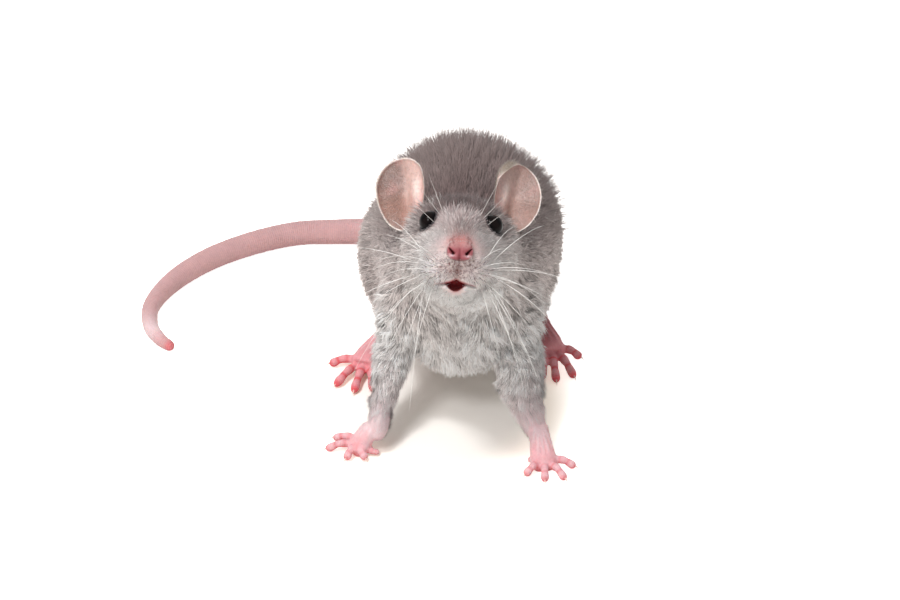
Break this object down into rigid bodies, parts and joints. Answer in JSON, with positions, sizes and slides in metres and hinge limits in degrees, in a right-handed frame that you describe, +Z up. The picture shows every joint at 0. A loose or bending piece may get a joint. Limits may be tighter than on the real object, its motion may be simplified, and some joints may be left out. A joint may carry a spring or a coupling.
{
  "type": "young dumbo-eared domestic rat, life-size still model",
  "caption": "Young grey domestic rat on straight forelegs, head raised to look up, round low-set ears, long bare tail curled forward along the floor.",
  "frame": {"origin": "centre of the bounding box, at floor level", "axes": "+Z up; the rat faces -Y and its own left side is +X"},
  "size_m": [0.125, 0.1302, 0.0728],
  "materials": {
    "coat": "plush grey fur, darker along the back, with pale tips",
    "pale_coat": "short pale fur of the chin and forearms",
    "skin": "bare pink skin of nose, hands and feet",
    "tail_skin": "ringed scaly skin, dusky pink above and paler towards the tip",
    "ear_skin": "thin, finely haired pink-grey skin",
    "eye": "wet black"
  },
  "bodies": {
    "root": {"nose": "skin", "jaw": "pale_coat", "head": "coat", "neck": "coat", "chest": "coat", "loins": "coat", "eye_left": "eye", "ear_left": "ear_skin", "upper_arm_left": "coat", "forearm_left": "pale_coat", "hand_left": "skin", "thigh_left": "coat", "shank_left": "coat", "foot_left": "skin", "eye_right": "eye", "ear_right": "ear_skin", "upper_arm_right": "coat", "forearm_right": "pale_coat", "hand_right": "skin", "thigh_right": "coat", "shank_right": "coat", "foot_right": "skin", "tail_base": "tail_skin", "tail_middle": "tail_skin", "tail_end": "tail_skin"}
  },
  "joints": []
}
